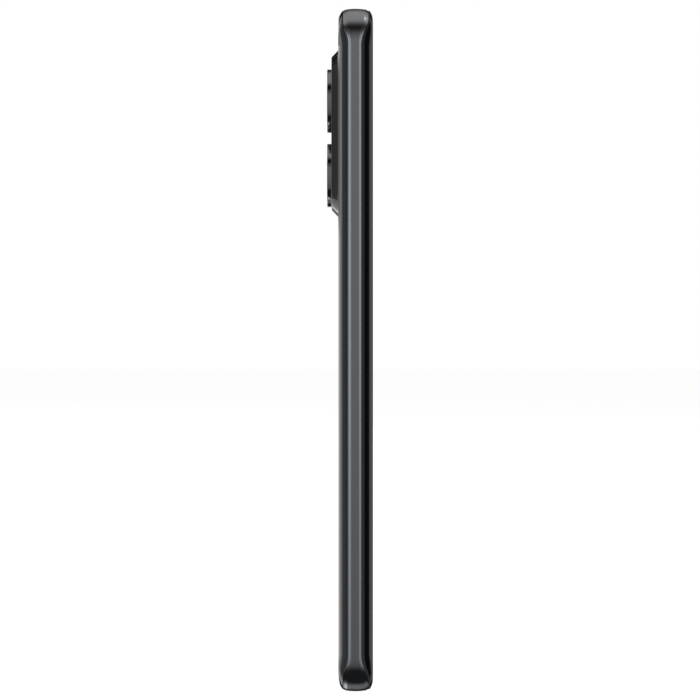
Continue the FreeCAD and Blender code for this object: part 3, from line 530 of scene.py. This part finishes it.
milled(band, rooms)
milled(band, break_rooms())
graphite_metal, _, _ = surface("graphite_anodised", (0.355, 0.362, 0.375), 0.22, 1.0, 0.10, 0.08,
                               14000, 0.02)
dressed(band, graphite_metal)
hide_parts("frame_band")

# ---- Front glass -----------------------------------------------------------------------------
# Thin cover glass, hot-bent down both long sides, ground and polished, with a slot at the top
# for the earpiece. The panel is off: the lit area is a shade lighter than the printed border,
# and the small round window of the front camera stands in it near one corner.


def lip_height(middle, outwards):
    """The lip shows most along the sides, where the glass stops short of the band."""
    return (0.2 + 0.52 * drop(edge_x(middle, outwards), front_drop) / front_drop) * MM


def front_edge(middle, outwards):
    return half_depth + band_front(middle, outwards) - lip_height(middle, outwards)


def bent_sheet(facing, edge_drop, side_drop, side_reach, end_reach, thick=0.6 * MM):
    """Profile of a sheet bent down at its rim: the outside of the bend, then the inside."""
    def profile(middle, outwards):
        fall = edge_drop(middle, outwards)
        share = min(1.0, fall / side_drop)
        reach = end_reach + (side_reach - end_reach) * share ** 1.3
        turn = 2 * math.atan2(fall, reach)
        radius = reach / math.sin(turn)
        inside = radius - thick
        stop = math.acos(max(-1.0, 1 - max(0.0, fall - thick) / inside))
        line = []
        for step in range(15):
            angle = turn * step / 14
            line.append((glass_inset + reach - radius * math.sin(angle),
                         facing * (half_depth - radius * (1 - math.cos(angle)))))
        for step in range(7):
            angle = stop * (6 - step) / 6
            line.append((glass_inset + reach - inside * math.sin(angle),
                         facing * (half_depth - thick - inside * (1 - math.cos(angle)))))
        return line
    return profile


front_sheet = swept("front_glass_sheet", around_phone, corner,
                    bent_sheet(-1, front_edge, front_drop, 4.88 * MM, 1.05 * MM), ends=True)
milled(front_sheet, [pushed("earpiece_slot", "Y", long_round(0, 157.55 * MM, 12 * MM, 0.4 * MM),
                            [(-1 * MM, 0), (-6 * MM, 0)])])


def chain(tree, start, *steps):
    """Run a value through math steps of (operation, other value), and give back the last one."""
    for operation, other in steps:
        step = tree.nodes.new("ShaderNodeMath")
        step.operation = operation
        tree.links.new(start, step.inputs[0])
        if isinstance(other, bpy.types.NodeSocket):
            tree.links.new(other, step.inputs[1])
        elif other is not None:
            step.inputs[1].default_value = other
        start = step.outputs["Value"]
    return start


def parts_of_place(tree):
    """The x, y and z of the point being shaded, in metres."""
    where = tree.nodes.new("ShaderNodeTexCoord")
    split = tree.nodes.new("ShaderNodeSeparateXYZ")
    tree.links.new(where.outputs["Object"], split.inputs["Vector"])
    return split.outputs["X"], split.outputs["Y"], split.outputs["Z"]


def off_axis(tree, x, z):
    """Distance of the point being shaded from a line along Y."""
    here_x, _, here_z = parts_of_place(tree)
    across = chain(tree, here_x, ("SUBTRACT", x), ("POWER", 2.0))
    up = chain(tree, here_z, ("SUBTRACT", z), ("POWER", 2.0))
    return chain(tree, across, ("ADD", up), ("SQRT", None))


def between(tree, mask, first, second):
    """A colour that goes from the first to the second, which is a colour or a socket."""
    mix = tree.nodes.new("ShaderNodeMix")
    mix.data_type = "RGBA"
    tree.links.new(mask, mix.inputs["Factor"])
    for place, color in ((6, first), (7, second)):
        if isinstance(color, bpy.types.NodeSocket):
            tree.links.new(color, mix.inputs[place])
        else:
            mix.inputs[place].default_value = (*color, 1)
    return mix.outputs[2]


dark_glass, dark_grain, _ = surface("dark_glass", (0.004, 0.004, 0.0045), 0.035, spread=0.2,
                                    rough_spread=0.03, grains=400, relief=0.0)
tree = dark_glass.node_tree
x, _, z = parts_of_place(tree)
inside_x = chain(tree, x, ("ABSOLUTE", None), ("LESS_THAN", 34.9 * MM))
inside_z = chain(tree, z, ("SUBTRACT", height / 2), ("ABSOLUTE", None), ("LESS_THAN", 78.1 * MM))
lit_area = chain(tree, inside_x, ("MULTIPLY", inside_z))
camera_x, camera_z = -24.5 * MM, 150 * MM
window = off_axis(tree, camera_x, camera_z)
screen = between(tree, lit_area, (0.0028, 0.0028, 0.003), (0.0052, 0.0054, 0.0064))
rim = between(tree, chain(tree, window, ("LESS_THAN", 2.1 * MM)), screen, (0.0012, 0.0012, 0.0012))
pupil = between(tree, chain(tree, window, ("LESS_THAN", 1.3 * MM)), rim, (0.010, 0.012, 0.022))
tree.links.new(pupil, dark_grain.inputs["Color"])
dressed(front_sheet, dark_glass)
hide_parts("front_glass")

# ---- Glass lip -------------------------------------------------------------------------------
# A thin moulded rim of black nylon between the front glass and the band. It cushions the glass
# if the phone is dropped, and shows as a dull dark line along both sides.


def lip_profile(middle, outwards):
    front = band_front(middle, outwards)
    top = front - lip_height(middle, outwards)
    rim = glass_inset + 0.02 * MM
    return eased([(2.4 * MM, front), (rim, front), (rim, top), (2.4 * MM, top)], [0, 0.08 * MM])


lip = swept("glass_lip", around_phone, corner, lip_profile)
lip_nylon, _, _ = surface("lip_nylon", (0.030, 0.030, 0.031), 0.4, grains=8000, relief=0.12)
dressed(lip, lip_nylon)
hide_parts("display_bezel")

# ---- Back cover and camera island --------------------------------------------------------------
# One sheet of graphite glass, hot-bent down the long sides. The camera island is pressed up out
# of it: its flanks run out into the back in a soft hollow, and its top is flat and polished.


def back_edge(middle, outwards):
    return half_depth - band_back(middle, outwards)


back_sheet = swept("back_glass_sheet", around_phone, corner,
                   bent_sheet(1, back_edge, back_drop, 5.23 * MM, 1.2 * MM), ends=True)
lens_x = sum(end.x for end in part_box("lens_ring_upper")) / 2
lens_rows = {label: sum(end.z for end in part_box(f"lens_ring_{label}")) / 2
             for label in ("upper", "lower")}
island_top = half_depth + 1.88 * MM


def island_profile(middle, outwards):
    line = [(-1.6 * MM, half_depth - 0.3 * MM), (-1.6 * MM, half_depth - 0.01 * MM),
            (-0.1 * MM, half_depth), (1.88 * MM, island_top), (4.5 * MM, island_top)]
    return eased(line, [0, 1.5 * MM, 0.35 * MM], 7)


island = swept("camera_island", outline(1.6 * MM, 30.8 * MM, 114 * MM, 155.2 * MM, 7.5 * MM),
               7.5 * MM, island_profile, ends=True)
small_x = sum(end.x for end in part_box("flash_lens")) / 2
small_rows = {"flash": 147 * MM, "sensor": 138 * MM, "sound": 131 * MM}


def back_holes():
    sizes = [(lens_x, z, 6.5 * MM) for z in lens_rows.values()]
    sizes += [(small_x, small_rows["flash"], 2.4 * MM), (small_x, small_rows["sensor"], 1.5 * MM),
              (small_x, small_rows["sound"], 0.5 * MM)]
    return [pushed("back_hole", "Y", long_round(x, z, 2 * r, 2 * r, 18), [(2 * MM, 0), (9 * MM, 0)])
            for x, z, r in sizes]


graphite_glass, glass_grain, _ = surface("graphite_glass", (0.016, 0.0165, 0.0175), 0.07, spread=0.5,
                                         rough_spread=0.03, grains=2500, relief=0.0)
tree = graphite_glass.node_tree
_, _, z = parts_of_place(tree)
climb = chain(tree, z, ("DIVIDE", height))
tree.links.new(between(tree, climb, (0.019, 0.0195, 0.0205), (0.013, 0.0132, 0.0142)),
               glass_grain.inputs["Color"])
for piece in (back_sheet, island):
    milled(piece, back_holes())
    dressed(piece, graphite_glass)
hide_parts("back_cover")

# ---- Lens rings ------------------------------------------------------------------------------
# Two equal rings turned from aluminium, anodised black and polished, bonded into the island and
# standing proud of it. Their flat faces keep the fine circles that the lathe leaves.


def turned(name, x, z, line, steps=144):
    """A piece turned on an axis along Y, from a closed loop of (radius, depth)."""
    count = len(line)
    verts, faces = [], []
    for spot in range(steps):
        angle = 2 * math.pi * spot / steps
        verts += [(x + r * math.cos(angle), y, z + r * math.sin(angle)) for r, y in line]
        following = (spot + 1) % steps
        for step in range(count):
            beyond = (step + 1) % count
            faces.append((spot * count + step, following * count + step,
                          following * count + beyond, spot * count + beyond))
    return finished(name, verts, faces)


ring_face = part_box("lens_ring_upper")[1].y
ring_line = eased([(5.0 * MM, island_top - 0.6 * MM), (6.45 * MM, island_top - 0.6 * MM),
                   (6.45 * MM, island_top - 0.02 * MM), (8.05 * MM, island_top - 0.02 * MM),
                   (8.05 * MM, ring_face), (5.6 * MM, ring_face), (5.6 * MM, ring_face - 0.8 * MM),
                   (5.0 * MM, ring_face - 0.8 * MM)],
                  [0, 0, 0, 0.16 * MM, 0.12 * MM, 0], 4)
for label, z in lens_rows.items():
    ring = turned(f"turned_ring_{label}", lens_x, z, ring_line)
    ring_metal, ring_grain, _ = surface(f"black_anodised_{label}", (0.30, 0.31, 0.325), 0.18, 1.0,
                                        0.1, 0.06, 14000, 0.02)
    tree = ring_metal.node_tree
    lathe = chain(tree, off_axis(tree, lens_x, z), ("MULTIPLY", 2 * math.pi / (0.12 * MM)),
                  ("SINE", None), ("MULTIPLY", 0.04), ("ADD", 0.14))
    tree.links.new(lathe, ring_grain.inputs["Roughness"])
    dressed(ring, ring_metal)
    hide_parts(f"lens_ring_{label}")

# ---- Lens windows ----------------------------------------------------------------------------
# Flat discs of hard glass bonded into the rings. Black ink is printed round the back of each,
# and leaves a clear middle for the lens under it.

window_low, window_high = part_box("lens_window_upper")
clear_radius = {"upper": 3.5 * MM, "lower": 2.9 * MM}
for label, z in lens_rows.items():
    rim_radius = 5.58 * MM
    disc_line = eased([(0.001 * MM, window_low.y), (rim_radius, window_low.y),
                       (rim_radius, window_high.y), (0.001 * MM, window_high.y)],
                      [0, 0.1 * MM])
    disc = turned(f"lens_disc_{label}", lens_x, z, disc_line, 96)
    disc_glass, _, disc_shader = surface(f"printed_glass_{label}", (0.003, 0.003, 0.0035), 0.03,
                                         spread=0.2, rough_spread=0.02, grains=500, relief=0.0)
    tree = disc_glass.node_tree
    printed = chain(tree, off_axis(tree, lens_x, z), ("SUBTRACT", clear_radius[label]),
                    ("DIVIDE", 0.15 * MM), ("MAXIMUM", 0.12), ("MINIMUM", 1.0))
    tree.links.new(printed, disc_shader.inputs["Alpha"])
    dressed(disc, disc_glass)
    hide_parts(f"lens_window_{label}")

# ---- Lens barrels ----------------------------------------------------------------------------
# Moulded black barrels with a stepped, baffled front that keeps stray light out. The first lens
# element stands in each: a small dome of glass with a coating that reflects violet and green.


def coated(name, x, z, radius):
    made, grain, _ = surface(name, (0.01, 0.01, 0.02), 0.03, spread=0.2, rough_spread=0.02,
                             grains=500, relief=0.0, specular=0.8, coat=0.5)
    tree = made.node_tree
    share = chain(tree, off_axis(tree, x, z), ("DIVIDE", radius))
    tree.links.new(between(tree, share, (0.004, 0.022, 0.016), (0.035, 0.012, 0.06)),
                   grain.inputs["Color"])
    return made


barrel_plastic, _, _ = surface("barrel_plastic", (0.012, 0.012, 0.012), 0.5, grains=8000, relief=0.2)
for label, node_name, body, eye in (("upper", "main_lens", "main_barrel", 2.2 * MM),
                                    ("lower", "wide_lens", "wide_barrel", 1.7 * MM)):
    z = lens_rows[label]
    barrel_low, barrel_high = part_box(node_name)
    radius = (barrel_high.x - barrel_low.x) / 2
    front = barrel_high.y
    steps_in = [(0.001 * MM, barrel_low.y), (radius, barrel_low.y), (radius, front)]
    ring_count, step_down = 4, 0.22 * MM
    for number in range(ring_count):
        reach = radius - 0.5 * MM - (radius - 0.5 * MM - eye) * number / ring_count
        level = front - step_down * number
        steps_in += [(reach, level), (reach, level - step_down)]
    base = front - step_down * ring_count
    steps_in += [(eye, base), (0.001 * MM, base)]
    barrel = turned(f"{node_name}_barrel", lens_x, z, steps_in, 96)
    dressed(barrel, barrel_plastic, body)
    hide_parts(node_name)
    dome = [(0.001 * MM, base - 0.2 * MM), (eye, base - 0.2 * MM)]
    dome += [(eye * math.cos(math.radians(turn)) + 0.001 * MM,
              base + 0.55 * MM * math.sin(math.radians(turn))) for turn in range(0, 91, 10)]
    element = turned(f"{node_name}_element", lens_x, z, dome, 96)
    dressed(element, coated(f"coated_glass_{label}", lens_x, z, eye), body)

# ---- Flash and sensor window -----------------------------------------------------------------
# The flash is a clear moulded disc with rings like a small lighthouse lens over a yellow lamp.
# The sensor window below it is plain dark glass.

for name, node_name, radius in (("flash_disc", "flash_lens", 2.36 * MM),
                                ("sensor_disc", "sensor_window", 1.46 * MM)):
    low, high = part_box(node_name)
    x, z = (low.x + high.x) / 2, (low.z + high.z) / 2
    disc = turned(name, x, z, eased([(0.001 * MM, low.y), (radius, low.y), (radius, high.y),
                                     (0.001 * MM, high.y)], [0, 0.08 * MM]), 72)
    if node_name == "flash_lens":
        look, grain, shader = surface("flash_plastic", (0.75, 0.72, 0.58), 0.25, grains=3000, relief=0.05)
        tree = look.node_tree
        away = off_axis(tree, x, z)
        lamp = chain(tree, away, ("DIVIDE", 1.5 * MM), ("MINIMUM", 1.0))
        tree.links.new(between(tree, lamp, (0.78, 0.62, 0.20), (0.62, 0.62, 0.58)), grain.inputs["Color"])
        ridges = chain(tree, away, ("MULTIPLY", 2 * math.pi / (0.28 * MM)), ("SINE", None))
        relief = tree.nodes.new("ShaderNodeBump")
        relief.inputs["Strength"].default_value = 0.7
        relief.inputs["Distance"].default_value = 0.00005
        tree.links.new(ridges, relief.inputs["Height"])
        tree.links.new(grain.outputs["Normal"], relief.inputs["Normal"])
        tree.links.new(relief.outputs["Normal"], shader.inputs["Normal"])
        dressed(disc, look)
    else:
        look, _, _ = surface("sensor_glass", (0.004, 0.003, 0.006), 0.04, rough_spread=0.02, grains=500,
                             relief=0.0)
        dressed(disc, look)
    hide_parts(node_name)

# ---- Side keys -------------------------------------------------------------------------------
# Aluminium, milled and anodised with the band, with rounded outer edges. A flange behind the
# band's wall holds each in, and small feet press the switches.


def side_lying(u, depth, v):
    return depth, u, v


def block(name, low, high):
    line = [(low[1], low[2]), (high[1], low[2]), (high[1], high[2]), (low[1], high[2])]
    return pushed(name, "X", line, [(low[0], 0), (high[0], 0)])


key_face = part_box("power_key")[1].x
cap_round, cap_corner = 0.28 * MM, 0.72 * MM
for name, (bottom, top) in key_ends.items():
    node_low, node_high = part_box(name)
    cap_line = eased([(0, 35 * MM), (0, key_face), (0.7 * MM, key_face)], [cap_round], 5)
    cap = swept(f"{name}_cap", outline(key_y - key_tall / 2, key_y + key_tall / 2, bottom, top,
                                       cap_corner, 10, 2),
                cap_corner, lambda middle, outwards: cap_line, ends=True, lying=side_lying)
    parts = [cap, block("flange", (34.75 * MM, node_low.y, node_low.z),
                        (35.05 * MM, node_high.y, node_high.z))]
    feet = [93.5 * MM] if name == "power_key" else [109 * MM, 123 * MM]
    parts += [pushed("foot", "X", long_round(key_y, foot, 1 * MM, 1 * MM, 5),
                     [(node_low.x, 0), (34.8 * MM, 0)]) for foot in feet]
    key = joined(f"{name}_piece", parts)
    key.data.shade_smooth()
    key.data.set_sharp_from_angle(angle=math.radians(28))
    dressed(key, graphite_metal, f"{name}_body")
    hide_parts(name)

# ---- Port contacts ---------------------------------------------------------------------------
# Gold-plated contact strips moulded flush into both faces of the port's tongue, twelve to a
# side at an even pitch. They repeat by rule, so a node tree lays them out.


contact_inputs = (("Count", "NodeSocketInt", 12), ("Pitch", "NodeSocketFloat", 0.5 * MM),
                  ("Width", "NodeSocketFloat", 0.25 * MM), ("Length", "NodeSocketFloat", 3.6 * MM),
                  ("Face Height", "NodeSocketFloat", 0.35 * MM),
                  ("Start Height", "NodeSocketFloat", 1.5 * MM))


def contact_tree():
    tree = bpy.data.node_groups.new("contact_rows", "GeometryNodeTree")
    face = tree.interface
    for label, kind, value in contact_inputs:
        face.new_socket(label, in_out="INPUT", socket_type=kind).default_value = value
    face.new_socket("Look", in_out="INPUT", socket_type="NodeSocketMaterial")
    face.new_socket("Geometry", in_out="OUTPUT", socket_type="NodeSocketGeometry")
    nodes, links = tree.nodes, tree.links
    given, result = nodes.new("NodeGroupInput"), nodes.new("NodeGroupOutput")

    def math_node(operation, first, second):
        step = nodes.new("ShaderNodeMath")
        step.operation = operation
        for place, value in enumerate((first, second)):
            if isinstance(value, bpy.types.NodeSocket):
                links.new(value, step.inputs[place])
            else:
                step.inputs[place].default_value = value
        return step.outputs["Value"]

    strip = nodes.new("GeometryNodeMeshCube")
    strip_size = nodes.new("ShaderNodeCombineXYZ")
    strip_size.inputs["Y"].default_value = 0.03 * MM
    links.new(given.outputs["Width"], strip_size.inputs["X"])
    links.new(given.outputs["Length"], strip_size.inputs["Z"])
    links.new(strip_size.outputs["Vector"], strip.inputs["Size"])
    join = nodes.new("GeometryNodeJoinGeometry")
    first_x = math_node("MULTIPLY", math_node("SUBTRACT", given.outputs["Count"], 1.0),
                        math_node("MULTIPLY", given.outputs["Pitch"], -0.5))
    middle_z = math_node("ADD", given.outputs["Start Height"],
                         math_node("MULTIPLY", given.outputs["Length"], 0.5))
    for side in (-1, 1):
        row = nodes.new("GeometryNodeMeshLine")
        start, pitch = nodes.new("ShaderNodeCombineXYZ"), nodes.new("ShaderNodeCombineXYZ")
        links.new(given.outputs["Count"], row.inputs["Count"])
        links.new(first_x, start.inputs["X"])
        links.new(math_node("MULTIPLY", given.outputs["Face Height"], side), start.inputs["Y"])
        links.new(middle_z, start.inputs["Z"])
        links.new(given.outputs["Pitch"], pitch.inputs["X"])
        links.new(start.outputs["Vector"], row.inputs["Start Location"])
        links.new(pitch.outputs["Vector"], row.inputs["Offset"])
        place = nodes.new("GeometryNodeInstanceOnPoints")
        links.new(row.outputs["Mesh"], place.inputs["Points"])
        links.new(strip.outputs["Mesh"], place.inputs["Instance"])
        links.new(place.outputs["Instances"], join.inputs["Geometry"])
    real = nodes.new("GeometryNodeRealizeInstances")
    paint = nodes.new("GeometryNodeSetMaterial")
    links.new(join.outputs["Geometry"], real.inputs["Geometry"])
    links.new(real.outputs["Geometry"], paint.inputs["Geometry"])
    links.new(given.outputs["Look"], paint.inputs["Material"])
    links.new(paint.outputs["Geometry"], result.inputs["Geometry"])
    return tree


gold, _, _ = surface("gold_plate", (0.83, 0.6, 0.28), 0.28, 1.0, grains=12000)
contacts = bpy.data.objects.new("port_contacts", bpy.data.meshes.new("port_contacts"))
bpy.context.scene.collection.objects.link(contacts)
rows = contacts.modifiers.new("rows", "NODES")
rows.node_group = contact_tree()
socket_of = {item.name: item.identifier for item in rows.node_group.interface.items_tree
             if item.in_out == "INPUT"}
for label, _, value in contact_inputs:
    rows[socket_of[label]] = value
rows[socket_of["Look"]] = gold
bpy.context.view_layer.update()
baked = bpy.data.meshes.new_from_object(
    contacts.evaluated_get(bpy.context.evaluated_depsgraph_get()))
contacts.modifiers.clear()
contacts.data = baked
dressed(contacts, gold)

# ---- Pieces shown as the CAD made them -----------------------------------------------------------
# Everything inside, and the tray, port and gasket: stamped steel, cast magnesium, moulded
# plastic, boards, foil, film and wire, each with its own worked surface.

plain_steel, _, _ = surface("stamped_steel", (0.52, 0.53, 0.55), 0.3, 1.0, 0.15, 0.12, 5000, 0.1)
black_plastic, _, _ = surface("moulded_plastic", (0.022, 0.022, 0.024), 0.5, grains=7000, relief=0.25)
cast_metal, _, _ = surface("cast_magnesium", (0.5, 0.51, 0.53), 0.5, 1.0, 0.25, 0.1, 2500, 0.4)
panel_glass, _, _ = surface("panel_back", (0.01, 0.01, 0.013), 0.12, grains=900, relief=0.03)
film, _, _ = surface("amber_film", (0.30, 0.15, 0.03), 0.28, spread=0.2, grains=1500, relief=0.1)
rubber, _, _ = surface("black_rubber", (0.018, 0.018, 0.018), 0.8, grains=4000, relief=0.3)

foil, foil_grain, _ = surface("cell_foil", (0.05, 0.052, 0.056), 0.38, 0.3, 0.4, 0.15, 600, 0.6)
tree = foil.node_tree
_, _, z = parts_of_place(tree)
seam = chain(tree, z, ("SUBTRACT", 98 * MM), ("ABSOLUTE", None), ("LESS_THAN", 0.4 * MM))
tree.links.new(between(tree, seam, (0.05, 0.052, 0.056), (0.16, 0.165, 0.17)), foil_grain.inputs["Color"])

mask, mask_grain, _ = surface("solder_mask", (0.012, 0.05, 0.035), 0.35, spread=0.3, grains=3000)
tree = mask.node_tree
where = tree.nodes.new("ShaderNodeTexCoord")
tracks = tree.nodes.new("ShaderNodeTexVoronoi")
tracks.feature = "DISTANCE_TO_EDGE"
tracks.inputs["Scale"].default_value = 700
tree.links.new(where.outputs["Object"], tracks.inputs["Vector"])
track = chain(tree, tracks.outputs["Distance"], ("LESS_THAN", 0.06))
tree.links.new(between(tree, track, (0.012, 0.05, 0.035), (0.03, 0.12, 0.07)), mask_grain.inputs["Color"])

winding, winding_grain, _ = surface("copper_winding", (0.62, 0.32, 0.17), 0.3, 1.0, 0.2, 0.1, 6000)
tree = winding.node_tree
turns_of_wire = chain(tree, off_axis(tree, 0, 68 * MM), ("MULTIPLY", 2 * math.pi / (0.5 * MM)),
                      ("SINE", None), ("MULTIPLY", 0.5), ("ADD", 0.5))
tree.links.new(between(tree, turns_of_wire, (0.20, 0.08, 0.04), (0.70, 0.38, 0.2)),
               winding_grain.inputs["Color"])

sound_mesh, sound_grain, _ = surface("sound_mesh", (0.2, 0.2, 0.21), 0.35, 1.0, grains=9000)
tree = sound_mesh.node_tree
x, y, _ = parts_of_place(tree)
weave_x = chain(tree, x, ("MULTIPLY", 2 * math.pi / (0.16 * MM)), ("SINE", None))
weave_y = chain(tree, y, ("MULTIPLY", 2 * math.pi / (0.16 * MM)), ("SINE", None))
pores = chain(tree, weave_x, ("MULTIPLY", weave_y), ("ABSOLUTE", None), ("LESS_THAN", 0.35))
tree.links.new(between(tree, pores, (0.01, 0.01, 0.01), (0.3, 0.3, 0.31)), sound_grain.inputs["Color"])

look_of = {"frame_metal": graphite_metal, "steel": plain_steel, "dark_plastic": black_plastic,
           "magnesium": cast_metal, "panel": panel_glass, "flex_amber": film, "rubber_black": rubber,
           "cell_wrap": foil, "board_green": mask, "copper": winding, "break_plastic": dyed_plastic,
           "cover_glass": dark_glass, "back_glass": graphite_glass, "ring_metal": plain_steel,
           "lens_glass": panel_glass, "flash_plastic": film}
slot_of = {entry["node"]: entry["material_slot"] for entry in frame["record"]["subparts"]}
for name, shape in frame["nodes"].items():
    look = sound_mesh if name == "speaker_mesh" else look_of[slot_of[name]]
    for place in shape.material_slots:
        place.material = look
